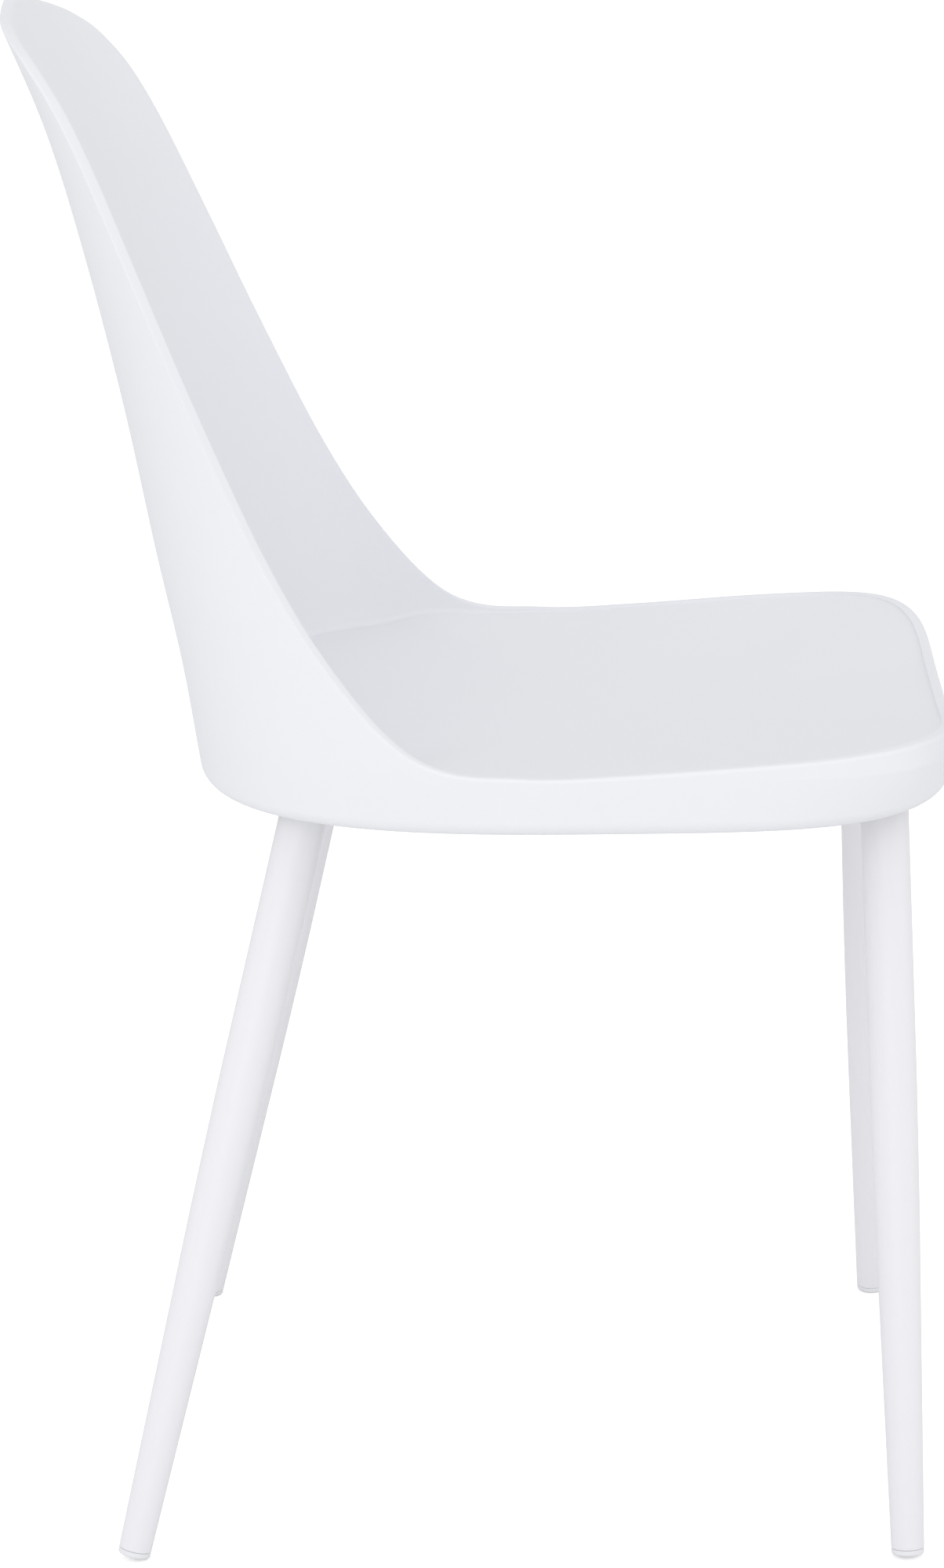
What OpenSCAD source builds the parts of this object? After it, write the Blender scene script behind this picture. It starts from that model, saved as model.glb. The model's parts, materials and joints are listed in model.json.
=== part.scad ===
// Dining chair: a one-piece moulded bucket shell on four tapered steel tube legs.
// X runs across the chair, the sitter faces -Y and Z is up.
// The origin is on the floor, under the centre of the chair's outline.

/* [Overall] */
// Height of the top of the back above the floor
total_h = 840; // [760:5:920]
// Height of the seat's edge above the floor, halfway along its sides
seat_h = 442; // [425:1:475]
// Width across the seat's edge
seat_w = 468; // [430:2:540]
// Depth of the seat, from its front edge to the heel of the back
seat_d = 420; // [400:1:500]
// How far the top of the back leans out behind the heel
back_rake = 98; // [80:1:140]

/* [Shell] */
// Thickness of the moulded wall
wall = 6.5; // [5:0.5:7]
// Depth of the skirt below the seat's edge
skirt_h = 30; // [28:1:36]
// Radius of the skirt's lower edge
skirt_r = 8; // [7.5:0.5:12]
// How far the line where back meets seat lies below the seat's edge
crease_drop = 2; // [1.5:0.5:6]
// Depth of the seat's dish below that line
dish = 7; // [3:0.5:9]
// Radius of the fillet where back meets seat
crease_r = 3; // [2:0.5:6]
// Radius on both edges of the rim
rim_r = 2; // [1:0.25:2.25]
// Height of the small lip around the seat
lip = 1.5; // [0.5:0.25:3]

/* [Legs] */
// Diameter of the leg tube at the top
leg_d = 26; // [22:0.5:28]
// Diameter of the leg tube at the foot
foot_d = 18; // [16:0.5:21]
// Wall of the leg tube
leg_wall = 1.5; // [1.2:0.1:2.5]
// Height at which the taper starts
taper_h = 230; // [150:10:300]
// Distance of each leg's top from the seat's side edge
side_inset = 90; // [84:1:100]
// Distance of the front legs' tops from the front edge
front_inset = 40; // [38:1:80]
// Distance of the rear legs' tops from the heel
rear_inset = 67; // [65:1:100]
// How far each foot stands outside its leg's top
side_splay = 63; // [0:1:75]
// How far the front feet stand ahead of their legs' tops
front_splay = 9; // [0:1:60]
// How far the rear feet stand behind their legs' tops
rear_splay = 96; // [40:1:110]

/* [Feet] */
// Thickness of the foot glide below the tube
glide_t = 4.5; // [3.5:0.5:8]
// Radius of the glide's domed sole
dome_r = 30; // [28:1:60]
// Length of the glide's plug inside the tube
plug_l = 20; // [12:1:30]

/* [Sub-frame] */
// Depth of the screw bosses below the middle of the seat's underside
boss_drop = 6.5; // [5.5:0.5:8]
// Thickness of the corner plates
plate_t = 3; // [2.5:0.5:3.5]
// Thickness of the flange welded on each leg
flange_t = 4; // [3:0.5:4.5]
// Diameter of the leg flange
flange_d = 58; // [54:1:66]
// How far the flange reaches outside the leg tube, across and along the seat
flange_lip = 6; // [5:0.5:8]
// Width of the rectangular rails
rail_w = 25; // [20:1:30]
// Height of the rectangular rails
rail_h = 12; // [10:1:15]
// Wall of the rails
rail_wall = 1.5; // [1.2:0.1:2]
// Length of each rail's weld lap on a corner plate
rail_lap = 26; // [20:1:32]

/* [Fasteners] */
// Thread diameter of the leg screws
screw_d = 6; // [5:0.5:6]
// Length of the leg screws under the head
screw_l = 16; // [15:0.5:17]
// Distance of the leg screws from the edge of their flange
screw_edge = 7.5; // [6.5:0.5:8.5]
// Outer diameter of the threaded inserts
insert_d = 8; // [7.5:0.25:9]
// Length of the threaded inserts
insert_l = 7; // [6:0.5:7.5]
// Diameter of the shell's screw bosses
boss_d = 14; // [12:0.5:15]

/* [Hidden] */

$fn = 64;
shell_white = [0.93, 0.94, 0.96];
steel_white = [0.92, 0.93, 0.95];
zinc = [0.72, 0.73, 0.75];
brass = [0.80, 0.66, 0.36];
glide_white = [0.90, 0.91, 0.93];

// Heights, down from the seat to the bosses and through the bolted stack
skirt_z = seat_h - skirt_h;
crease_z = seat_h - crease_drop;
boss_z = crease_z - dish - wall - boss_drop;
plate_z = boss_z - plate_t;
flange_z = plate_z - flange_t;
washer_t = 1.6;
flat_washer_z = flange_z - washer_t;
spring_washer_z = flat_washer_z - washer_t;
turn_r = max(skirt_r, wall + 0.5);

// Depths
front_y = -(seat_d + back_rake) / 2;
heel_y = front_y + seat_d;

// Leg places [x, y] at the top and at the foot, and the flanges' centres, for the left side.
// The right side mirrors them.
leg_x = seat_w / 2 - side_inset;
foot_x = leg_x + side_splay;
front_top = [leg_x, front_y + front_inset];
front_foot = [foot_x, front_top[1] - front_splay];
flange_shift = (flange_d - leg_d) / 2 - flange_lip;
front_flange = front_top + flange_shift * [-1, 1];
rear_top = [leg_x, heel_y - rear_inset];
rear_foot = [foot_x, rear_top[1] + rear_splay];
rear_flange = rear_top - flange_shift * [1, 1];

// Fits
play = 0.1;
screw_hole_d = screw_d + 0.6;
flat_washer_d = 12;
spring_washer_d = 10.6;
spring_slit = 1.2;
head_d = 10.5;
head_h = 3.3;
socket_across = 4;
socket_deep = 2;
washer_gap = 0.6;
weld_gap = 1.5;

// The three screws round a flange, as angles from the left on the rear left flange: one screw
// stands opposite the leg, and the others clear the leg's tube on either side of it
rear_axis = leg_axis(rear_top, rear_foot, 1);
tube_reach = leg_d / 2 * norm(rear_axis) / rear_axis[2];
clear_r = tube_reach + flat_washer_d / 2 + washer_gap;
screw_r = flange_d / 2 - screw_edge;
leg_r = flange_shift * sqrt(2);
beside_leg = acos((pow(leg_r, 2) + pow(screw_r, 2) - pow(clear_r, 2)) / (2 * leg_r * screw_r));
screw_angles = [45 - beside_leg, 45 + beside_leg, 225];

// The shell's shape, as control points that smooth curves pass through.
// Lean of the back: [share of the height above the skirt, share of back_rake]
lean_line = [[0, 0], [0.15, 0.09], [0.3, 0.215], [0.5, 0.37], [0.7, 0.56], [0.85, 0.74], [1, 1]];
// Width: [share of the height above the skirt, share of seat_w]
width_line = [[0, 0.975], [0.1, 1], [0.55, 1.005], [0.8, 0.99], [1, 0.955]];
// Length of the outline's rear half: [share of the height above the skirt, share of seat_d]
bulge_line = [[0, 0.555], [0.3, 0.515], [0.6, 0.45], [1, 0.385]];
// Height of the rim: [angle from the rear, share of the back's height above the seat's edge]
rim_line = [[0, 1], [20, 0.984], [30, 0.972], [38, 0.953], [44, 0.918], [48, 0.843], [52, 0.627], [56, 0.31],
            [61, 0.131], [68, 0.029], [80, 0.006], [95, 0.009], [115, 0.022], [133, 0.031], [158, 0.004], [180, 0]];
// Squareness of the outline behind, and in front at the skirt's edge and at the seat's edge
rear_power = 2.85;
front_power_low = 3.8;
front_power_high = 5.2;
// How sharply the seat's dish and its rise to the rim steepen towards the edge
dish_power = 2.2;
lift_power = 3;
// Angles from the rear between which the crease climbs to the rim
crease_end = [55, 95];
// How far round the skirt's lower edge turns inwards
skirt_turn = 70;

// Columns around the shell, the degrees by which they crowd towards its corners,
// and rows of points along each stretch of a column
columns = 96;
crowding = 7;
pan_rows = 5;
wall_rows = 8;
edge_rows = 2;
skirt_rows = 3;

// ---- Curves ----

function lerp(a, b, t) = a + (b - a) * t;
function clamp01(t) = min(max(t, 0), 1);

// Slope of a curve at its control point i; a flat curve is level at both ends
function slope(pts, i, flat) =
    let (last = len(pts) - 1, a = max(i - 1, 0), b = min(i + 1, last))
    flat && (i == 0 || i == last) ? 0 : (pts[b][1] - pts[a][1]) / (pts[b][0] - pts[a][0]);

// Cubic between two control points, with a given slope at each
function hermite(p, q, slope_p, slope_q, x) =
    let (h = q[0] - p[0], t = (x - p[0]) / h)
    p[1] * (1 + 2 * t) * pow(1 - t, 2) + slope_p * h * t * pow(1 - t, 2)
    + q[1] * pow(t, 2) * (3 - 2 * t) + slope_q * h * pow(t, 2) * (t - 1);

// Value at x of the smooth curve through the control points
function curve(pts, x, flat = false, i = 0) =
    i < len(pts) - 2 && x > pts[i + 1][0]
    ? curve(pts, x, flat, i + 1)
    : hermite(pts[i], pts[i + 1], slope(pts, i, flat), slope(pts, i + 1, flat), x);

// 0 below t = 0, 1 above t = 1, and a smooth rise between
function ease(t) = pow(clamp01(t), 2) * (3 - 2 * clamp01(t));

// ---- Shape of the shell ----

function rise(z) = (z - skirt_z) / (total_h - skirt_z);
function half_w(z) = seat_w / 2 * curve(width_line, rise(z));
function half_back(z) = seat_d * curve(bulge_line, rise(z));
function centre_y(z) = heel_y + back_rake * curve(lean_line, rise(z)) - half_back(z);
function front_power(z) = lerp(front_power_low, front_power_high, clamp01((z - skirt_z) / skirt_h));

// Distance from the centre to a superellipse, at the angle a from the rear
function reach(a, w, l, n) = pow(pow(abs(sin(a)) / w, n) + pow(abs(cos(a)) / l, n), -1 / n);

// Point of the shell's outline at height z and angle a, moved inwards by inset
function outline(a, z, inset) =
    let (rear = cos(a) > 0,
         l = (rear ? half_back(z) : centre_y(z) - front_y) - inset,
         n = rear ? rear_power : front_power(z),
         r = reach(a, half_w(z) - inset, l, n))
    [r * sin(a), centre_y(z) + r * cos(a), z];

function rim_z(a) = seat_h + (total_h - seat_h) * curve(rim_line, a > 180 ? 360 - a : a, true);

// Height of the seat's edge: the crease behind, and just under the rim at the sides and front
function seat_edge_z(a) =
    let (from_rear = 180 - abs(180 - a))
    lerp(crease_z, rim_z(a) - lip, ease((from_rear - crease_end[0]) / (crease_end[1] - crease_end[0])));

// Height of the seat's surface, a share t of the way from its middle to its edge
function pan_z(t, a) =
    crease_z - dish * (1 - pow(t, dish_power)) + (seat_edge_z(a) - crease_z) * pow(t, lift_power);
pan_middle = [0, centre_y(crease_z), crease_z - dish];

// Height of the seat's surface over a point [x, y]
function pan_z_at(p) =
    let (v = [p[0], p[1] - pan_middle[1]],
         a = atan2(abs(v[0]), v[1]),
         edge = outline(a, seat_edge_z(a), wall) - pan_middle)
    pan_z(norm(v) / norm([edge[0], edge[1]]), a);

// Point of the seat, or of its underside when dropped by the wall
function pan_point(t, a, edge, drop) =
    let (p = lerp(pan_middle, edge, t))
    [p[0], p[1], pan_z(t, a) - drop];

// Points of the turned-in lower edge, b degrees round an arc of radius r
function skirt_point(a, b, r) = outline(a, skirt_arc_z - r * sin(b), turn_r - r * cos(b));
skirt_arc_z = skirt_z + turn_r * sin(skirt_turn);

// One column of points, from beside the seat's middle over the rim to under the seat's middle
function column(a) =
    let (top = rim_z(a),
         edge_z = seat_edge_z(a),
         fillet = min(crease_r, 0.5 * (top - edge_z)),
         fold = min(rim_r, 0.4 * (top - edge_z)),
         seat_edge = outline(a, edge_z, wall + fillet),
         under_edge = outline(a, edge_z - wall, wall))
    concat(
        [for (k = [1:pan_rows]) pan_point(k / pan_rows, a, seat_edge, 0)],
        [for (k = [1:edge_rows]) let (b = 90 * k / edge_rows)
            outline(a, edge_z + fillet * (1 - cos(b)), wall + fillet * (1 - sin(b)))],
        [for (k = [1:wall_rows - 1])
            outline(a, lerp(edge_z + fillet, top - fold, k / wall_rows), wall)],
        [for (k = [0:edge_rows]) let (b = 90 * k / edge_rows)
            outline(a, top - fold * (1 - sin(b)), wall - fold * (1 - cos(b)))],
        [for (k = [0:edge_rows]) let (b = 90 * k / edge_rows)
            outline(a, top - rim_r * (1 - cos(b)), rim_r * (1 - sin(b)))],
        [for (k = [1:wall_rows])
            outline(a, lerp(top - rim_r, skirt_arc_z, k / wall_rows), 0)],
        [for (k = [1:skirt_rows]) skirt_point(a, skirt_turn * k / skirt_rows, turn_r)],
        [for (k = [0:edge_rows]) skirt_point(a, skirt_turn * (1 - k / edge_rows), turn_r - wall)],
        [for (k = [1:edge_rows])
            outline(a, lerp(skirt_arc_z, edge_z - wall, k / edge_rows), wall)],
        [for (k = [1:pan_rows - 1]) pan_point(1 - k / pan_rows, a, under_edge, wall)]
    );

function column_angle(i) = let (u = 360 * i / columns) u + crowding * sin(4 * u);

// Closed skin through all the columns, with one point at the middle of the seat and one under it
module shell_skin() {
    rings = [for (i = [0:columns - 1]) column(column_angle(i))];
    rows = len(rings[0]);
    points = concat(
        [pan_middle],
        [for (ring = rings) each ring],
        [pan_middle - [0, 0, wall]]
    );
    under_middle = len(points) - 1;
    function id(i, j) = 1 + (i % columns) * rows + j;
    faces = [
        for (i = [0:columns - 1]) each concat(
            [[0, id(i, 0), id(i + 1, 0)]],
            [for (j = [0:rows - 2]) [id(i, j), id(i, j + 1), id(i + 1, j + 1)]],
            [for (j = [0:rows - 2]) [id(i, j), id(i + 1, j + 1), id(i + 1, j)]],
            [[under_middle, id(i + 1, rows - 1), id(i, rows - 1)]]
        )
    ];
    polyhedron(points, faces, convexity = 6);
}

// ---- Screw places ----

// Places [x, y] of the screws round a flange on the left; end is 1 at the rear and -1 in front
function screws_at(centre, end) =
    [for (a = screw_angles) centre + screw_r * [cos(a), end * sin(a)]];
left_screws = concat(screws_at(rear_flange, 1), screws_at(front_flange, -1));

// Puts the children at every screw, at height z
module at_screws(z) {
    for (side = [1, -1], p = left_screws)
        translate([side * p[0], p[1], z]) children();
}

// ---- Sub-parts ----

module boss(p) {
    translate([p[0], p[1], boss_z]) difference() {
        cylinder(d = boss_d, h = pan_z_at(p) - wall / 2 - boss_z);
        translate([0, 0, -1]) cylinder(d = insert_d, h = insert_l + 1);
    }
}

module seat_shell() {
    color(shell_white) {
        shell_skin();
        for (side = [1, -1], p = left_screws) boss([side * p[0], p[1]]);
    }
}

module threaded_inserts() {
    color(brass) at_screws(boss_z) difference() {
        cylinder(d = insert_d - 0.04, h = insert_l);
        translate([0, 0, -1]) cylinder(d = screw_d, h = insert_l + 2);
    }
}

// Puts children drawn for a rear left flange, about its centre, at any corner.
// side is 1 on the left and -1 on the right; end is 1 at the rear and -1 in front.
module at_corner(centre, side, end) {
    translate([side * centre[0], centre[1], 0])
        mirror([side < 0 ? 1 : 0, 0, 0]) mirror([0, end < 0 ? 1 : 0, 0]) children();
}

// Clearance holes for the three screws, through flange and corner plate
module screw_holes() {
    for (p = screws_at([0, 0], 1))
        translate([p[0], p[1], flange_z - 1]) cylinder(d = screw_hole_d, h = plate_t + flange_t + 2);
}

// Plate under the bosses with a tab to carry each rail, and a gusset between the tabs
module corner_plate(centre, side, end) {
    tab = flange_d / 2 + weld_gap + rail_lap;
    half = rail_w / 2;
    color(steel_white) at_corner(centre, side, end) difference() {
        translate([0, 0, plate_z]) linear_extrude(plate_t) {
            circle(d = flange_d);
            polygon([[0, half], [-tab, half], [-tab, -half], [-half, -tab], [half, -tab], [half, 0]]);
        }
        screw_holes();
    }
}

// Plate on the top of a leg
module flange(centre, side, end) {
    color(steel_white) at_corner(centre, side, end) difference() {
        translate([0, 0, flange_z]) cylinder(d = flange_d, h = flange_t);
        screw_holes();
    }
}

// A rectangular tube along X, with its top on the corner plates
module rail(length) {
    color(steel_white) translate([-length / 2, 0, plate_z - rail_h]) difference() {
        translate([0, -rail_w / 2, 0]) cube([length, rail_w, rail_h]);
        translate([-1, -rail_w / 2 + rail_wall, rail_wall])
            cube([length + 2, rail_w - 2 * rail_wall, rail_h - 2 * rail_wall]);
    }
}

module cross_rail(centre) {
    translate([0, centre[1], 0]) rail(2 * centre[0] - flange_d - 2 * weld_gap);
}

module side_rail(side) {
    translate([side * front_flange[0], (rear_flange[1] + front_flange[1]) / 2, 0])
        rotate(90) rail(rear_flange[1] - front_flange[1] - flange_d - 2 * weld_gap);
}

// Puts the children on a leg's axis: their origin where the sole's sphere has its centre,
// their Z up along the leg
module on_leg(top, foot, side) {
    axis = leg_axis(top, foot, side);
    translate([side * foot[0], foot[1], dome_r])
        rotate([0, acos(axis[2] / norm(axis)), atan2(axis[1], axis[0])]) rotate(90) children();
}
function leg_axis(top, foot, side) = [side * (top[0] - foot[0]), top[1] - foot[1], flange_z - dome_r];

module leg(top, foot, side) {
    length = norm(leg_axis(top, foot, side));
    start = glide_t - dome_r;
    taper = taper_h - dome_r;
    color(steel_white) difference() {
        on_leg(top, foot, side) difference() {
            tube(start, taper, length + leg_d, 0);
            tube(start - 1, taper, length + leg_d + 1, leg_wall);
        }
        translate([side * top[0], top[1], flange_z + leg_d]) cube(2 * leg_d, center = true);
    }
}

// Solid of the leg's tapered and straight stretches, thinner by inset on every side
module tube(start, taper, end, inset) {
    translate([0, 0, start])
        cylinder(r1 = foot_d / 2 - inset, r2 = leg_d / 2 - inset, h = taper - start);
    translate([0, 0, taper]) cylinder(d = leg_d - 2 * inset, h = end - taper);
}

module foot_glide(top, foot, side) {
    color(glide_white) on_leg(top, foot, side) {
        intersection() {
            translate([0, 0, -dome_r]) cylinder(d = foot_d - 2 * play, h = glide_t);
            sphere(r = dome_r);
        }
        translate([0, 0, glide_t - dome_r - play]) cylinder(d = foot_d - 2 * leg_wall - 2 * play, h = plug_l);
    }
}

module flat_washers() {
    color(zinc) at_screws(flat_washer_z) washer(flat_washer_d);
}

module washer(d) {
    difference() {
        cylinder(d = d, h = washer_t);
        translate([0, 0, -1]) cylinder(d = screw_hole_d - 0.2, h = washer_t + 2);
    }
}

module spring_washers() {
    color(zinc) at_screws(spring_washer_z) difference() {
        washer(spring_washer_d);
        translate([0, -spring_slit / 2, -1]) cube([spring_washer_d, spring_slit, washer_t + 2]);
    }
}

module leg_screws() {
    color(zinc) at_screws(spring_washer_z - head_h) difference() {
        union() {
            intersection() {
                cylinder(d = head_d, h = head_h);
                translate([0, 0, head_d * 0.7]) sphere(r = head_d * 0.7);
            }
            cylinder(d = screw_d - 2 * play, h = head_h + screw_l);
        }
        translate([0, 0, -1]) cylinder(d = socket_across / cos(30), h = socket_deep + 1, $fn = 6);
    }
}

seat_shell();
threaded_inserts();
corner_plate(front_flange, 1, -1);  // corner_plate_front_left
corner_plate(front_flange, -1, -1);  // corner_plate_front_right
corner_plate(rear_flange, 1, 1);  // corner_plate_rear_left
corner_plate(rear_flange, -1, 1);  // corner_plate_rear_right
cross_rail(front_flange);  // front_rail
cross_rail(rear_flange);  // rear_rail
side_rail(1);  // left_rail
side_rail(-1);  // right_rail
flange(front_flange, 1, -1);  // flange_front_left
flange(front_flange, -1, -1);  // flange_front_right
flange(rear_flange, 1, 1);  // flange_rear_left
flange(rear_flange, -1, 1);  // flange_rear_right
leg(front_top, front_foot, 1);  // leg_front_left
leg(front_top, front_foot, -1);  // leg_front_right
leg(rear_top, rear_foot, 1);  // leg_rear_left
leg(rear_top, rear_foot, -1);  // leg_rear_right
foot_glide(front_top, front_foot, 1);  // foot_glide_front_left
foot_glide(front_top, front_foot, -1);  // foot_glide_front_right
foot_glide(rear_top, rear_foot, 1);  // foot_glide_rear_left
foot_glide(rear_top, rear_foot, -1);  // foot_glide_rear_right
flat_washers();
spring_washers();
leg_screws();
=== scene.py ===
"""Dining chair: a one-piece moulded shell on four tapered steel tube legs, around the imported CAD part."""

import json

import bpy
import numpy as np
from mathutils import Matrix, Vector


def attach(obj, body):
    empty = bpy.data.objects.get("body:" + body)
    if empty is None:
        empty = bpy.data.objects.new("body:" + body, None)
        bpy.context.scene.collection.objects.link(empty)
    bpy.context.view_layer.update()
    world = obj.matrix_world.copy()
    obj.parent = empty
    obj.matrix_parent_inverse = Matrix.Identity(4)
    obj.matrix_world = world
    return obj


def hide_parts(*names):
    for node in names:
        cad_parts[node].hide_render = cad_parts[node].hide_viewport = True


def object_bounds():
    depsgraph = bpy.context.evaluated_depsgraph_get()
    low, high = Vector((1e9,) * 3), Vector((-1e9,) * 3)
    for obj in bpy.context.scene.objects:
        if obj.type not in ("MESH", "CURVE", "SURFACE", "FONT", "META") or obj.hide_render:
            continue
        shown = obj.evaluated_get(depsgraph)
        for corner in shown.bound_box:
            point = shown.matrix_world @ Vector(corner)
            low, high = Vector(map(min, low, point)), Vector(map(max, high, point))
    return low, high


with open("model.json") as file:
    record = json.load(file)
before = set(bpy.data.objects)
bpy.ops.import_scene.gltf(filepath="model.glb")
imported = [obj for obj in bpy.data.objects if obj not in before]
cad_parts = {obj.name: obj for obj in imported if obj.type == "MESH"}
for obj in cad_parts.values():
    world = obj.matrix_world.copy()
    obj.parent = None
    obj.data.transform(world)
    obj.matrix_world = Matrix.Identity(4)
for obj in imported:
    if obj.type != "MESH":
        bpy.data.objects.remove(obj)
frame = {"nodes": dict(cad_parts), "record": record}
cad_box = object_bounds()
scene = bpy.context.scene

# ---- Sizes, in millimetres, as in the CAD part ----

TOTAL_H, SEAT_H, SEAT_W, SEAT_D, BACK_RAKE = 840.0, 442.0, 468.0, 420.0, 98.0
WALL, SKIRT_H, SKIRT_R, CREASE_DROP, DISH, CREASE_R, RIM_R, LIP = 6.5, 30.0, 8.0, 2.0, 7.0, 3.0, 2.0, 1.5
LEG_D, FOOT_D, LEG_WALL, TAPER_H = 26.0, 18.0, 1.5, 230.0
SIDE_INSET, FRONT_INSET, REAR_INSET = 90.0, 40.0, 67.0
SIDE_SPLAY, FRONT_SPLAY, REAR_SPLAY = 63.0, 9.0, 96.0
GLIDE_T, DOME_R, PLUG_L = 4.5, 30.0, 20.0
BOSS_DROP, PLATE_T, FLANGE_T, FLANGE_D, FLANGE_LIP = 6.5, 3.0, 4.0, 58.0, 6.0
RAIL_W, RAIL_H, RAIL_WALL, RAIL_LAP, WELD_GAP = 25.0, 12.0, 1.5, 26.0, 1.5
SCREW_EDGE, INSERT_D, INSERT_L, BOSS_D = 7.5, 8.0, 7.0, 14.0
WASHER_D, WASHER_GAP = 12.0, 0.6

SKIRT_Z = SEAT_H - SKIRT_H
CREASE_Z = SEAT_H - CREASE_DROP
BOSS_Z = CREASE_Z - DISH - WALL - BOSS_DROP
PLATE_Z = BOSS_Z - PLATE_T
FLANGE_Z = PLATE_Z - FLANGE_T
FRONT_Y = -(SEAT_D + BACK_RAKE) / 2
HEEL_Y = FRONT_Y + SEAT_D
LEG_X = SEAT_W / 2 - SIDE_INSET
FRONT_TOP = np.array([LEG_X, FRONT_Y + FRONT_INSET])
REAR_TOP = np.array([LEG_X, HEEL_Y - REAR_INSET])
FRONT_FOOT = FRONT_TOP + (SIDE_SPLAY, -FRONT_SPLAY)
REAR_FOOT = REAR_TOP + (SIDE_SPLAY, REAR_SPLAY)
FLANGE_SHIFT = (FLANGE_D - LEG_D) / 2 - FLANGE_LIP
FRONT_FLANGE = FRONT_TOP + (-FLANGE_SHIFT, FLANGE_SHIFT)
REAR_FLANGE = REAR_TOP - FLANGE_SHIFT
# Two of a flange's screws stand just clear of the leg's tube, and one opposite it
TUBE_REACH = LEG_D / 2 * float(np.hypot(1, np.hypot(SIDE_SPLAY, REAR_SPLAY) / (FLANGE_Z - DOME_R)))
SCREW_R, LEG_R = FLANGE_D / 2 - SCREW_EDGE, FLANGE_SHIFT * 2 ** 0.5
CLEAR_R = TUBE_REACH + WASHER_D / 2 + WASHER_GAP
BESIDE_LEG = float(np.degrees(np.arccos((LEG_R ** 2 + SCREW_R ** 2 - CLEAR_R ** 2) / (2 * LEG_R * SCREW_R))))
SCREW_ANGLES = (45 - BESIDE_LEG, 45 + BESIDE_LEG, 225)
# Each leg's corner, its top and foot on the left side, and its side: 1 for left, -1 for right
LEGS = (
    ("front_left", FRONT_TOP, FRONT_FOOT, 1),
    ("front_right", FRONT_TOP, FRONT_FOOT, -1),
    ("rear_left", REAR_TOP, REAR_FOOT, 1),
    ("rear_right", REAR_TOP, REAR_FOOT, -1),
)

# Control points. The first three run over the share of the height from the skirt's lower edge to the top.
# RIM runs over degrees from the rear, and gives the share of the height from the seat to the top.
LEAN = [(0, 0), (0.15, 0.09), (0.3, 0.215), (0.5, 0.37), (0.7, 0.56), (0.85, 0.74), (1, 1)]
WIDTH = [(0, 0.975), (0.1, 1), (0.55, 1.005), (0.8, 0.99), (1, 0.955)]
BULGE = [(0, 0.555), (0.3, 0.515), (0.6, 0.45), (1, 0.385)]
RIM = [(0, 1), (20, 0.984), (30, 0.972), (38, 0.953), (44, 0.918), (48, 0.843), (52, 0.627), (56, 0.31),
       (61, 0.131), (68, 0.029), (80, 0.006), (95, 0.009), (115, 0.022), (133, 0.031), (158, 0.004), (180, 0)]
# How square the outline is at the rear, at the front's lower edge and at the front's top
REAR_POWER, FRONT_LOW, FRONT_HIGH = 2.85, 3.8, 5.2
# Powers of the seat's dish and of its lift towards the edge: the higher, the nearer the edge it sets in
DISH_POWER, LIFT_POWER = 2.2, 3.0
# Degrees from the rear between which the crease runs out into the rim
CREASE_END = (55, 95)
# Degrees by which the skirt's lower edge turns in
SKIRT_TURN = 70.0
# Points round the shell, and rows of them along each stretch of its section
SHELL_COLUMNS = 720
PAN_ROWS, CREASE_ROWS, INNER_ROWS, FOLD_ROWS, RIM_ROWS = 40, 10, 34, 8, 10
OUTER_ROWS, TURN_ROWS, INNER_TURN_ROWS, INNER_SKIRT_ROWS = 44, 12, 8, 6
# A screw boss: chamfer of the hole, radius of the lower edge, draft, fillet, spread in the seat's wall
HOLE_CHAMFER, BOSS_EDGE_R, BOSS_DRAFT, BOSS_FILLET_R, BOSS_ROOT = 0.4, 0.5, 0.2, 1.8, 1.6
# Where a leg's taper runs into its straight stretch, and the radius of the tube's lower lip
BLEND_DEPTH, BLEND_SPAN, LIP_R = 0.25, 26.0, 0.45
# A glide: play in the tube, radius of its lower edge, gap and rounding at the seam, and ribs of the plug
GLIDE_PLAY, GLIDE_EDGE_R, SEAM_GAP, SEAM_R, RIBS, RIB_DEPTH = 0.1, 1.5, 0.15, 0.35, 4, 0.35
# A rail: radius of its corners outside, at the ends and inside, and by how much its ends are broken
RAIL_R, RAIL_END_R, RAIL_INNER_R, RAIL_BREAK = 2.4, 2.2, 1.2, 0.25
# The bead round a leg: width, reach into the tube, distance under the flange, ripples and their height
LEG_BEAD, LEG_BEAD_IN, LEG_BEAD_SUNK, LEG_RIPPLES, RIPPLE_SHARE = 2.6, 0.4, 0.05, 26, 0.08
# Radius and ripple of the rails' beads, where they start and stop, and how deep they sit in the corner
RAIL_BEAD, RIPPLE, BEAD_START, BEAD_STOP, BEAD_IN, BEAD_DROP = 1.15, 1.7, 1.5, 3.0, 1.1, 1.2
# The length over which a rail's bead swells at its start and fades at its end, and its steps
BEAD_TAPER, BEAD_STEPS = 1.5, 60

# ---- Colours, lamps and camera, in metres, degrees and watts ----

# Colours as linear light: cool, slightly bluish whites, brass and zinc
SHELL_WHITE = (0.80, 0.81, 0.845)
COAT_WHITE = (0.80, 0.80, 0.83)
GLIDE_WHITE = (0.78, 0.785, 0.81)
BRASS = (0.60, 0.40, 0.12)
ZINC = (0.52, 0.54, 0.57)
# Scale of the clouds in which colour and roughness vary
CLOUD_SCALE = 14
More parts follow.
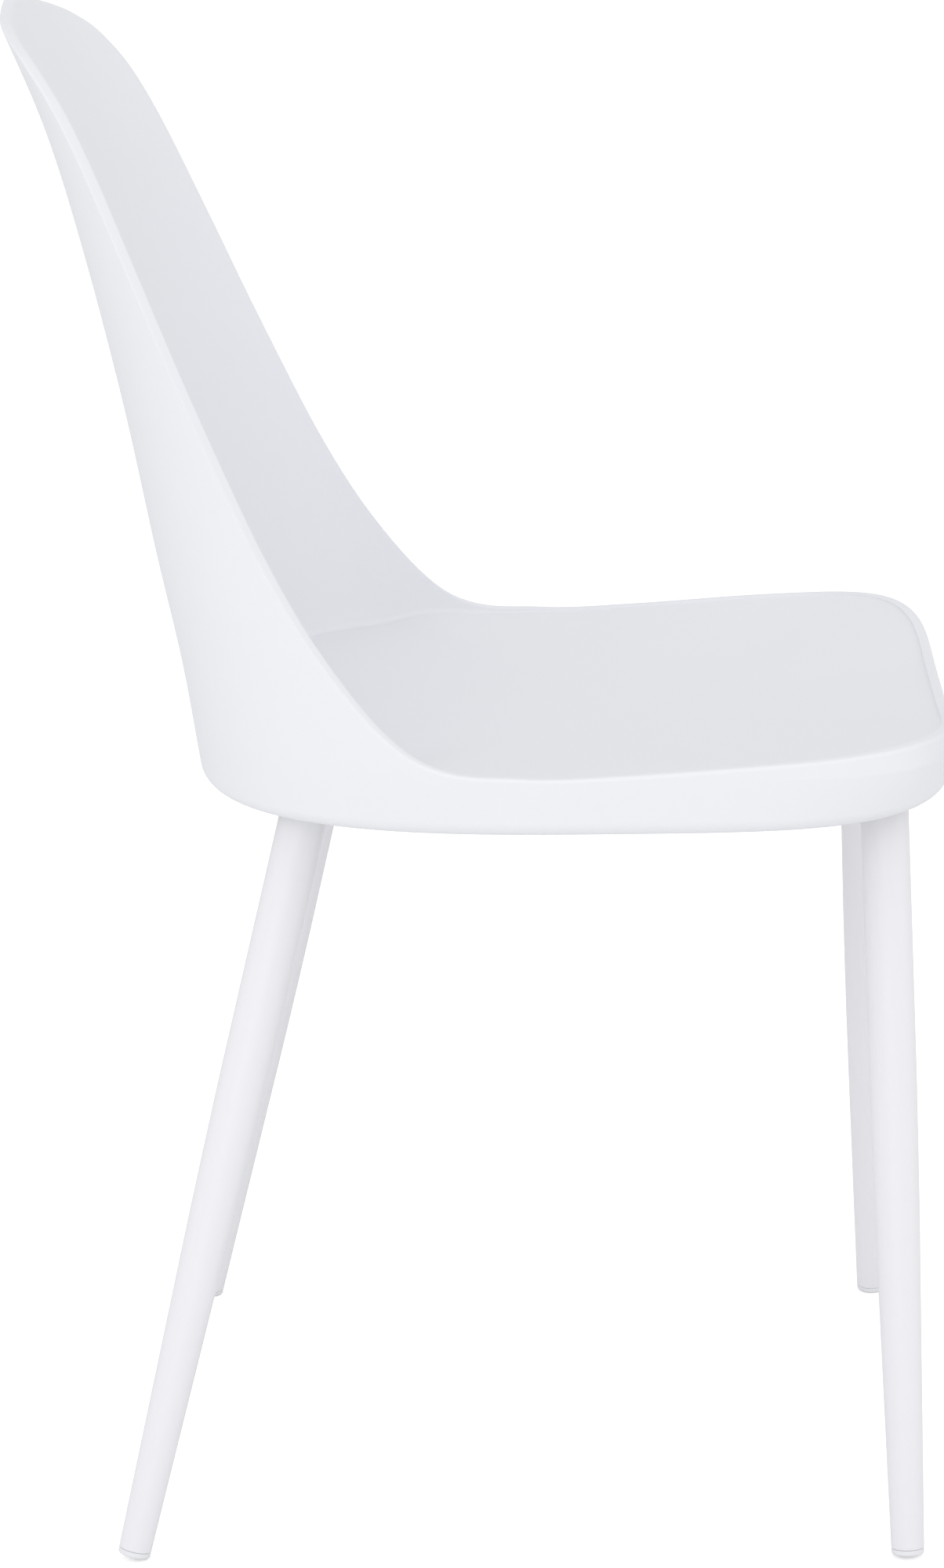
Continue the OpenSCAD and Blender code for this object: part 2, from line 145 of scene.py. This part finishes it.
# Slot: colour, metallic, roughness, its spread, scale and height of the grain, mottle, brushing
LOOKS = {
    "shell_plastic": (SHELL_WHITE, 0, 0.5, 0.05, 1400, 0.00005, 0.006, None),
    "powder_coat": (COAT_WHITE, 0, 0.46, 0.05, 700, 0.00008, 0.008, None),
    "glide_plastic": (GLIDE_WHITE, 0, 0.42, 0.06, 900, 0.00004, 0.01, None),
    "brass": (BRASS, 1, 0.3, 0.08, 900, 0.00004, 0.08, (1, 1, 6)),
    "zinc_steel": (ZINC, 1, 0.32, 0.07, 800, 0.00004, 0.06, (1, 1, 5)),
}

# Strength of the floor's own glow and of the white surroundings
FLOOR_GLOW, SKY = 0.36, 0.81
FLOOR_SIZE, FLOOR_WHITE = 80, (0.9, 0.9, 0.9, 1)
# Name, place, target, side and power of each square lamp
LAMPS = (
    ("key", (-3.0, 0.6, 1.2), (0, 0, 0.5), 2.0, 19.6),
    ("top", (0, 0, 3.0), (0, 0, 0), 2.5, 6.5),
    ("front_fill", (-1.0, -3.0, 1.6), (0, 0, 0.6), 2.0, 13.0),
    ("rear_fill", (-1.0, 3.0, 1.2), (0, 0, 0.5), 2.0, 7.3),
)
# The camera stands at the chair's right side and looks a little down; lens and sensor are in millimetres
CAMERA_PLACE = (-2.4694, -0.102, 0.98)
YAW, PITCH, ROLL = -2.648, 13.5, -1.283
LENS, SENSOR, SHIFT_X = 101.304, 36, 0.002


# ---- The shell's shape ----

def curve(line, x, flat=False):
    """Smooth curve through control points, at every x."""
    p, v = np.array(line, float).T
    m = np.empty_like(v)
    m[1:-1] = (v[2:] - v[:-2]) / (p[2:] - p[:-2])
    m[0] = 0 if flat else (v[1] - v[0]) / (p[1] - p[0])
    m[-1] = 0 if flat else (v[-1] - v[-2]) / (p[-1] - p[-2])
    x = np.asarray(x, float)
    i = np.clip(np.searchsorted(p, x, side="left") - 1, 0, len(p) - 2)
    h = p[i + 1] - p[i]
    t = (x - p[i]) / h
    return (v[i] * (1 + 2 * t) * (1 - t) ** 2 + m[i] * h * t * (1 - t) ** 2
            + v[i + 1] * t * t * (3 - 2 * t) + m[i + 1] * h * t * t * (t - 1))


def ease(t):
    t = np.clip(t, 0, 1)
    return t * t * (3 - 2 * t)


def centre_y(z):
    r = (z - SKIRT_Z) / (TOTAL_H - SKIRT_Z)
    return HEEL_Y + BACK_RAKE * curve(LEAN, r) - SEAT_D * curve(BULGE, r)


def outline(a, z, inset):
    """Points of the shell's outline at heights z and angles a (degrees from the rear), moved in by inset."""
    a, z, inset = np.broadcast_arrays(np.asarray(a, float), np.asarray(z, float), np.asarray(inset, float))
    r = (z - SKIRT_Z) / (TOTAL_H - SKIRT_Z)
    w = SEAT_W / 2 * curve(WIDTH, r) - inset
    back = SEAT_D * curve(BULGE, r)
    cy = centre_y(z)
    s, c = np.sin(np.radians(a)), np.cos(np.radians(a))
    length = np.where(c > 0, back, cy - FRONT_Y) - inset
    front = FRONT_LOW + (FRONT_HIGH - FRONT_LOW) * np.clip((z - SKIRT_Z) / SKIRT_H, 0, 1)
    n = np.where(c > 0, REAR_POWER, front)
    reach = ((np.abs(s) / w) ** n + (np.abs(c) / length) ** n) ** (-1 / n)
    return np.stack([reach * s, cy + reach * c, z], -1)


def from_rear(a):
    return 180 - np.abs(180 - np.asarray(a, float))


def rim_z(a):
    return SEAT_H + (TOTAL_H - SEAT_H) * curve(RIM, from_rear(a), True)


def seat_edge_z(a):
    share = ease((from_rear(a) - CREASE_END[0]) / (CREASE_END[1] - CREASE_END[0]))
    return CREASE_Z + (rim_z(a) - LIP - CREASE_Z) * share


PAN_MIDDLE = np.array([0, float(centre_y(CREASE_Z)), CREASE_Z - DISH])


def pan_z(t, a):
    return CREASE_Z - DISH * (1 - t ** DISH_POWER) + (seat_edge_z(a) - CREASE_Z) * t ** LIFT_POWER


def pan_points(t, a, edge, drop):
    """Rows of points from the seat's middle to its edge."""
    p = PAN_MIDDLE + (edge - PAN_MIDDLE) * t[:, None, None]
    p[..., 2] = pan_z(t[:, None], a) - drop
    return p


def underside_z(x, y):
    """Height of the underside over one point."""
    v = np.array([x, y]) - PAN_MIDDLE[:2]
    a = np.degrees(np.arctan2(abs(v[0]), v[1]))
    edge = outline(a, seat_edge_z(a), WALL) - PAN_MIDDLE
    return float(pan_z(np.hypot(*v) / np.hypot(edge[0], edge[1]), a) - WALL)


# ---- Mesh helpers ----

def mesh_object(name, verts, faces):
    mesh = bpy.data.meshes.new(name)
    mesh.from_pydata((np.asarray(verts, float) * 0.001).tolist(), [], faces)
    mesh.validate()
    mesh.shade_smooth()
    obj = bpy.data.objects.new(name, mesh)
    scene.collection.objects.link(obj)
    return obj


def join(parts):
    """One list of points and faces from several."""
    verts, faces = [], []
    for v, f in parts:
        faces += [tuple(len(verts) + i for i in face) for face in f]
        verts += [tuple(p) for p in v]
    return verts, faces


def grid(rings, closed=False, caps=False, flip=False):
    """Skin through rings of equal length. closed joins the last ring to the first; caps closes both ends."""
    rings = np.asarray(rings, float)
    rows, n = rings.shape[:2]
    verts = list(rings.reshape(-1, 3))
    faces = []
    for i in range(rows if closed else rows - 1):
        a, b = i * n, (i + 1) % rows * n
        faces += [(a + j, a + (j + 1) % n, b + (j + 1) % n, b + j) for j in range(n)]
    if caps:
        for ring, turn in ((0, True), (rows - 1, False)):
            verts.append(rings[ring].mean(0))
            for j in range(n):
                p, q = ring * n + j, ring * n + (j + 1) % n
                faces.append((len(verts) - 1, q, p) if turn else (len(verts) - 1, p, q))
    if flip:
        faces = [f[::-1] for f in faces]
    return verts, faces


def arc(start, stop, n):
    return np.radians(np.linspace(start, stop, n))


def circle(n=64):
    b = 2 * np.pi * np.arange(n) / n
    return np.stack([np.cos(b), np.sin(b), np.zeros(n)], -1)


def turned(profile, n=64):
    """Rings of a turned profile [(radius, height), ...] about Z."""
    c = circle(n)
    return np.array([c * r + (0, 0, z) for r, z in profile])


# ---- The shell ----

def boss(x, y):
    """Screw boss with drafted sides, a fillet under the seat and a blind hole for the insert."""
    top = underside_z(x, y)
    r = BOSS_D / 2
    hole = INSERT_D / 2
    profile = [(hole, BOSS_Z + INSERT_L), (hole, BOSS_Z + HOLE_CHAMFER), (hole + HOLE_CHAMFER, BOSS_Z)]
    low_r = r - BOSS_DRAFT
    for b in arc(0, 90, 5):
        profile.append((low_r - BOSS_EDGE_R * (1 - np.sin(b)), BOSS_Z + BOSS_EDGE_R * (1 - np.cos(b))))
    for b in arc(0, 80, 7):
        profile.append((r + BOSS_FILLET_R * (1 - np.cos(b)), top - BOSS_FILLET_R * (1 - np.sin(b))))
    profile.append((r + BOSS_ROOT, top + WALL / 2))
    return grid(turned(profile, 40) + (x, y, 0), caps=True)


def screw_places():
    places = []
    for centre, end in ((REAR_FLANGE, 1), (FRONT_FLANGE, -1)):
        for b in np.radians(SCREW_ANGLES):
            places.append(centre + SCREW_R * np.array([np.cos(b), end * np.sin(b)]))
    return [(side * x, y) for side in (1, -1) for x, y in places]


def shell(name):
    """The whole moulding, row by row from the pan's middle, over the rim and back under the seat."""
    a = np.arange(SHELL_COLUMNS) * 360.0 / SHELL_COLUMNS
    top, edge = rim_z(a), seat_edge_z(a)
    fillet = np.minimum(CREASE_R, 0.5 * (top - edge))
    fold = np.minimum(RIM_R, 0.4 * (top - edge))
    arc_z = SKIRT_Z + SKIRT_R * np.sin(np.radians(SKIRT_TURN))
    seat_edge, under_edge = outline(a, edge, WALL + fillet), outline(a, edge - WALL, WALL)
    pan_t = np.sin(arc(0, 90, PAN_ROWS))[1:]
    rows = list(pan_points(pan_t, a, seat_edge, 0))
    for b in arc(0, 90, CREASE_ROWS)[1:]:
        rows.append(outline(a, edge + fillet * (1 - np.cos(b)), WALL + fillet * (1 - np.sin(b))))
    for t in np.linspace(0, 1, INNER_ROWS)[1:-1]:
        rows.append(outline(a, edge + fillet + (top - fold - edge - fillet) * t, WALL))
    for b in arc(0, 90, FOLD_ROWS):
        rows.append(outline(a, top - fold * (1 - np.sin(b)), WALL - fold * (1 - np.cos(b))))
    for b in arc(0, 90, RIM_ROWS):
        rows.append(outline(a, top - RIM_R * (1 - np.cos(b)), RIM_R * (1 - np.sin(b))))
    for t in np.linspace(0, 1, OUTER_ROWS)[1:]:
        rows.append(outline(a, top - RIM_R + (arc_z - top + RIM_R) * t, 0))
    for b in arc(0, SKIRT_TURN, TURN_ROWS)[1:]:
        rows.append(outline(a, arc_z - SKIRT_R * np.sin(b), SKIRT_R - SKIRT_R * np.cos(b)))
    inner = SKIRT_R - WALL
    for b in arc(SKIRT_TURN, 0, INNER_TURN_ROWS):
        rows.append(outline(a, arc_z - inner * np.sin(b), SKIRT_R - inner * np.cos(b)))
    for t in np.linspace(0, 1, INNER_SKIRT_ROWS)[1:]:
        rows.append(outline(a, arc_z + (edge - WALL - arc_z) * t, WALL))
    rows += list(pan_points(pan_t[::-1][1:], a, under_edge, WALL))
    # the CAD shell's flats lie a hair inside the true curve: keep within its box
    low, high = (np.array(corner) * 1000 for corner in cad_box)
    skin = grid(np.clip(rows, low, high), caps=True, flip=True)
    return mesh_object(name, *join([skin] + [boss(x, y) for x, y in screw_places()]))


# ---- Legs, glides, rails and welds ----

def leg_frame(top, foot, side):
    """Axes, origin and length of a leg: origin at the centre of the sole's sphere, Z running up the leg."""
    origin = np.array([side * foot[0], foot[1], DOME_R])
    z = np.array([side * top[0], top[1], FLANGE_Z]) - origin
    length = np.linalg.norm(z)
    z = z / length
    x = np.cross((0, 1, 0), z)
    x /= np.linalg.norm(x)
    return np.array([x, np.cross(z, x), z]), origin, length


def place(rings, top, foot, side):
    axes, origin, _ = leg_frame(top, foot, side)
    return np.asarray(rings) @ axes + origin


def leg(name, top, foot, side):
    """Tapered tube with a rounded lower lip, cut level where it meets its flange."""
    axes, _, length = leg_frame(top, foot, side)
    start, taper = GLIDE_T - DOME_R, TAPER_H - DOME_R

    def radius(z):
        # the swaged tube blends from its taper into the straight stretch over a few centimetres
        t = np.clip((z - start) / (taper - start), 0, 1)
        blend = BLEND_DEPTH * np.exp(-((z - taper) / BLEND_SPAN) ** 2)
        return FOOT_D / 2 + (LEG_D - FOOT_D) / 2 * t - blend

    outer = []
    for b in arc(0, 90, 5):
        outer.append((radius(start) - LIP_R * (1 - np.sin(b)), start + LIP_R * (1 - np.cos(b))))
    outer += [(radius(z), z) for z in np.linspace(start + 2, length, 90)]
    inner = [(radius(z) - LEG_WALL, z) for z in np.linspace(length, start, 20)]
    rings = place(turned(outer + inner, 96), top, foot, side)
    # slide the two top rings, and whatever else is too high, along the leg onto the flange's face
    onto_flange = rings + axes[2] * ((FLANGE_Z - rings[:, :, 2:3]) / axes[2][2])
    rings = np.where(rings[:, :, 2:3] > FLANGE_Z, onto_flange, rings)
    top_rings = slice(len(outer) - 1, len(outer) + 1)
    rings[top_rings] = onto_flange[top_rings]
    return mesh_object(name, *grid(rings, closed=True))


def glide(name, top, foot, side):
    """Moulded glide: domed sole, rounded lower edge, a fine groove at the seam, and a ribbed plug."""
    r, seam = FOOT_D / 2 - GLIDE_PLAY, GLIDE_T - DOME_R
    # the rounded edge touches both the side and the sole's sphere
    centre_r = r - GLIDE_EDGE_R
    centre_z = -np.sqrt((DOME_R - GLIDE_EDGE_R) ** 2 - centre_r ** 2)
    meet = np.degrees(np.arctan2(-centre_z, centre_r))
    profile = [(DOME_R * np.cos(b), -DOME_R * np.sin(b)) for b in arc(89.6, meet, 14)]
    for b in arc(meet, 0, 12)[1:]:
        profile.append((centre_r + GLIDE_EDGE_R * np.cos(b), centre_z - GLIDE_EDGE_R * np.sin(b)))
    profile.append((r, seam - 0.75))
    for b in arc(0, 90, 5):
        profile.append((r - SEAM_R * (1 - np.cos(b)), seam - SEAM_GAP - SEAM_R * (1 - np.sin(b))))
    plug = FOOT_D / 2 - LEG_WALL - GLIDE_PLAY
    profile.append((plug - 0.3, seam - SEAM_GAP))
    for i in range(RIBS):
        z = seam + 2 + i * (PLUG_L - 4) / RIBS
        profile += [(plug - RIB_DEPTH, z), (plug, z + 0.4), (plug - RIB_DEPTH, z + 2.6)]
    profile += [(plug - RIB_DEPTH, seam + PLUG_L - 1), (plug - 1.3, seam + PLUG_L - 0.1)]
    return mesh_object(name, *grid(place(turned(profile, 72), top, foot, side), caps=True))


def rounded_loop(w, h, r, n=8):
    """Rounded rectangle about the origin, as (across, up) points."""
    points = []
    for cx, cy, start in ((1, 1, 0), (-1, 1, 90), (-1, -1, 180), (1, -1, 270)):
        for b in arc(start, start + 90, n):
            points.append((cx * (w / 2 - r) + r * np.cos(b), cy * (h / 2 - r) + r * np.sin(b)))
    return np.array(points)


def rail(name, centre, length, along_x):
    """Drawn rectangular tube with rounded corners and lightly broken ends."""
    rows = []
    half = length / 2
    z = PLATE_Z - RAIL_H / 2
    outer = (RAIL_W, RAIL_H, RAIL_R)
    end = (RAIL_W - 2 * RAIL_BREAK, RAIL_H - 2 * RAIL_BREAK, RAIL_END_R)
    inner = (RAIL_W - 2 * RAIL_WALL, RAIL_H - 2 * RAIL_WALL, RAIL_INNER_R)
    for s, size in ((-half, end), (-half + RAIL_BREAK, outer), (half - RAIL_BREAK, outer), (half, end),
                    (half, inner), (-half, inner)):
        loop = rounded_loop(*size)
        across, up, run = loop[:, 0], loop[:, 1] + z, np.full(len(loop), s)
        rows.append(np.stack([run + centre[0], centre[1] - across, up] if along_x
                             else [centre[0] + across, run + centre[1], up], -1))
    return mesh_object(name, *grid(rows, closed=True, flip=True))


def bead(path, normals, ups, size, step):
    """Rings of a weld bead along a path, with the ripples that the torch leaves."""
    c = circle(14)
    run = np.concatenate([[0], np.cumsum(np.linalg.norm(np.diff(path, axis=0), axis=1))])
    turns = 2 * np.pi * run / step
    swell = size * (1 + 0.10 * np.sin(turns) + 0.05 * np.sin(turns / 3.7))
    return [p + (c[:, :1] * n + c[:, 1:2] * u) * s for p, n, u, s in zip(path, normals, ups, swell)]


def leg_weld(name, top, foot, side):
    """Bead round a leg, under its flange."""
    axes, origin, length = leg_frame(top, foot, side)
    b = 2 * np.pi * np.arange(160) / 160
    ring = (np.cos(b)[:, None] * axes[0] + np.sin(b)[:, None] * axes[1]) * LEG_D / 2
    ring = ring + origin + axes[2] * length
    ring += axes[2] * ((FLANGE_Z - ring[:, 2:3]) / axes[2][2])
    out = ring - np.array([side * top[0], top[1], FLANGE_Z])
    out[:, 2] = 0
    out /= np.linalg.norm(out, axis=1)[:, None]
    ripple = 1 + RIPPLE_SHARE * np.sin(LEG_RIPPLES * b)[:, None]
    rows = [ring - out * LEG_BEAD_IN * ripple - (0, 0, LEG_BEAD_SUNK)]
    for t in arc(0, 90, 7):
        down = np.array([0, 0, LEG_BEAD * np.sin(t) + LEG_BEAD_SUNK])
        rows.append(ring + out * (LEG_BEAD * np.cos(t)) * ripple - down * ripple)
    return mesh_object(name, *grid(rows, closed=True))


def rail_weld(centre, side, end, along_x, edge):
    """Bead along one edge of a rail, where it lies on a corner plate."""
    tab = FLANGE_D / 2 + WELD_GAP
    s = np.linspace(tab + BEAD_START, tab + RAIL_LAP - BEAD_STOP, BEAD_STEPS)
    offset = edge * (RAIL_W / 2 - BEAD_IN)
    if along_x:
        x = side * (centre[0] - s)
        y = np.full(BEAD_STEPS, centre[1] + offset)
        across = np.array([0, 1, 0])
    else:
        x = np.full(BEAD_STEPS, side * (centre[0] + offset))
        y = centre[1] - end * s
        across = np.array([1, 0, 0])
    path = np.stack([x, y, np.full(BEAD_STEPS, PLATE_Z - BEAD_DROP)], -1)
    ends = np.clip(np.minimum(s - s[0], s[-1] - s) / BEAD_TAPER, 0.15, 1) ** 0.5
    up = np.array([0, 0, 1.0])
    rows = bead(path, [across * e for e in ends], [up * e for e in ends], RAIL_BEAD, RIPPLE)
    turn = np.dot(np.cross(path[-1] - path[0], across), up) > 0
    return grid(rows, caps=True, flip=bool(turn))


def rail_welds(name):
    """Beads along both edges of every rail, where it lies on the corner plates."""
    parts = []
    for side in (1, -1):
        for centre, end in ((FRONT_FLANGE, -1), (REAR_FLANGE, 1)):
            for along_x in (True, False):
                for edge in (-1, 1):
                    parts.append(rail_weld(centre, side, end, along_x, edge))
    return mesh_object(name, *join(parts))


# ---- Materials, all procedural ----

def material(name, colour, metallic, roughness, spread, grain, depth, mottle, brushed):
    """Principled surface whose colour and roughness vary a little over a few centimetres, with a fine grain.

    spread is how far the roughness strays either way, and mottle the share by which the colour does.
    grain is the grain's scale, depth its height in metres, and brushed stretches it along an axis.
    """
    mat = bpy.data.materials.new(name)
    mat.use_nodes = True
    nodes, links = mat.node_tree.nodes, mat.node_tree.links
    shader = nodes["Principled BSDF"]
    shader.inputs["Metallic"].default_value = metallic
    shader.inputs["IOR"].default_value = 1.49
    coords = nodes.new("ShaderNodeTexCoord")

    cloud = nodes.new("ShaderNodeTexNoise")
    cloud.inputs["Scale"].default_value = CLOUD_SCALE
    cloud.inputs["Detail"].default_value = 3
    links.new(coords.outputs["Object"], cloud.inputs["Vector"])

    shade = nodes.new("ShaderNodeMix")
    shade.data_type = "RGBA"
    shade.inputs[6].default_value = tuple(c * (1 - mottle) for c in colour) + (1,)
    shade.inputs[7].default_value = tuple(min(c * (1 + mottle), 1) for c in colour) + (1,)
    links.new(cloud.outputs["Fac"], shade.inputs[0])
    links.new(shade.outputs[2], shader.inputs["Base Color"])

    vector = coords.outputs["Object"]
    if brushed:
        stretch = nodes.new("ShaderNodeMapping")
        stretch.inputs["Scale"].default_value = brushed
        links.new(vector, stretch.inputs["Vector"])
        vector = stretch.outputs["Vector"]
    fine = nodes.new("ShaderNodeTexNoise")
    fine.inputs["Scale"].default_value = grain
    fine.inputs["Detail"].default_value = 2
    links.new(vector, fine.inputs["Vector"])

    sheen = nodes.new("ShaderNodeMapRange")
    sheen.inputs["To Min"].default_value = roughness - spread
    sheen.inputs["To Max"].default_value = roughness + spread
    links.new(cloud.outputs["Fac"], sheen.inputs["Value"])
    links.new(sheen.outputs["Result"], shader.inputs["Roughness"])

    bump = nodes.new("ShaderNodeBump")
    bump.inputs["Distance"].default_value = depth
    bump.inputs["Strength"].default_value = 0.5
    links.new(fine.outputs["Fac"], bump.inputs["Height"])
    links.new(bump.outputs["Normal"], shader.inputs["Normal"])
    return mat


MATERIALS = {slot: material(slot, *look) for slot, look in LOOKS.items()}
root = "root"


def finish_piece(obj, slot, *nodes):
    obj.data.materials.clear()
    obj.data.materials.append(MATERIALS[slot])
    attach(obj, root)
    if nodes:
        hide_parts(*nodes)


finish_piece(shell("moulded_shell"), "shell_plastic", "seat_shell")
for corner, top, foot, side in LEGS:
    finish_piece(leg("tapered_leg_" + corner, top, foot, side), "powder_coat", "leg_" + corner)
    finish_piece(glide("domed_glide_" + corner, top, foot, side), "glide_plastic", "foot_glide_" + corner)
    finish_piece(leg_weld("leg_weld_" + corner, top, foot, side), "powder_coat")
rail_gap = FLANGE_D + 2 * WELD_GAP
for rail_name, flange in (("front_rail", FRONT_FLANGE), ("rear_rail", REAR_FLANGE)):
    drawn = rail("drawn_" + rail_name, (0, flange[1]), 2 * flange[0] - rail_gap, True)
    finish_piece(drawn, "powder_coat", rail_name)
side_length = REAR_FLANGE[1] - FRONT_FLANGE[1] - rail_gap
for rail_name, side in (("left_rail", 1), ("right_rail", -1)):
    middle = (side * FRONT_FLANGE[0], (FRONT_FLANGE[1] + REAR_FLANGE[1]) / 2)
    drawn = rail("drawn_" + rail_name, middle, side_length, False)
    finish_piece(drawn, "powder_coat", rail_name)
finish_piece(rail_welds("rail_weld_beads"), "powder_coat")

# the CAD pieces that are kept as they are take the same looks
for part in frame["record"]["subparts"]:
    node = frame["nodes"][part["node"]]
    node.data.materials.clear()
    node.data.materials.append(MATERIALS[part["material_slot"]])


# ---- Camera ----

def camera():
    data = bpy.data.cameras.new("camera")
    data.sensor_width = SENSOR
    data.lens = LENS
    data.shift_x = SHIFT_X
    data.clip_start, data.clip_end = 0.1, 200
    cam = bpy.data.objects.new("camera", data)
    scene.collection.objects.link(cam)
    yaw, pitch, roll = np.radians([YAW, PITCH, ROLL])
    ahead = np.array([np.cos(yaw) * np.cos(pitch), -np.sin(yaw) * np.cos(pitch), -np.sin(pitch)])
    right = np.array([-np.sin(yaw), -np.cos(yaw), 0])
    up = np.cross(right, ahead)
    right, up = right * np.cos(roll) + up * np.sin(roll), up * np.cos(roll) - right * np.sin(roll)
    m = Matrix.Identity(4)
    for i in range(3):
        m[i][0], m[i][1], m[i][2] = right[i], up[i], -ahead[i]
    m[0][3], m[1][3], m[2][3] = CAMERA_PLACE
    cam.matrix_world = m
    scene.camera = cam


camera()


# ---- Floor and light ----

def floor():
    """Plain white studio floor, faintly lit from within like a light table."""
    bpy.ops.mesh.primitive_plane_add(size=FLOOR_SIZE)
    obj = bpy.context.object
    obj.name = "studio_floor"
    mat = bpy.data.materials.new("studio_floor")
    mat.use_nodes = True
    nodes, links = mat.node_tree.nodes, mat.node_tree.links
    shader = nodes["Principled BSDF"]
    shader.inputs["Base Color"].default_value = FLOOR_WHITE
    shader.inputs["Roughness"].default_value = 1
    shader.inputs["Specular IOR Level"].default_value = 0
    shader.inputs["Emission Color"].default_value = (1, 1, 1, 1)
    # the glow shows in the picture but throws no light on the chair
    path = nodes.new("ShaderNodeLightPath")
    glow = nodes.new("ShaderNodeMath")
    glow.operation = "MULTIPLY"
    glow.inputs[1].default_value = FLOOR_GLOW
    links.new(path.outputs["Is Camera Ray"], glow.inputs[0])
    links.new(glow.outputs[0], shader.inputs["Emission Strength"])
    # from below, the floor is clear, so the chair's underside can be looked at
    clear = nodes.new("ShaderNodeBsdfTransparent")
    face = nodes.new("ShaderNodeNewGeometry")
    mix = nodes.new("ShaderNodeMixShader")
    links.new(face.outputs["Backfacing"], mix.inputs[0])
    links.new(shader.outputs[0], mix.inputs[1])
    links.new(clear.outputs[0], mix.inputs[2])
    links.new(mix.outputs[0], nodes["Material Output"].inputs["Surface"])
    obj.data.materials.append(mat)


def area(name, position, target, size, power):
    data = bpy.data.lights.new(name, "AREA")
    data.shape = "RECTANGLE"
    data.size = data.size_y = size
    data.energy = power
    obj = bpy.data.objects.new(name, data)
    scene.collection.objects.link(obj)
    obj.location = position
    obj.rotation_euler = (Vector(target) - Vector(position)).to_track_quat("-Z", "Y").to_euler()


floor()
for lamp in LAMPS:
    area(*lamp)
world = bpy.data.worlds.new("studio")
world.use_nodes = True
world.node_tree.nodes["Background"].inputs["Color"].default_value = (1, 1, 1, 1)
world.node_tree.nodes["Background"].inputs["Strength"].default_value = SKY
scene.world = world
scene.view_settings.view_transform = "Standard"
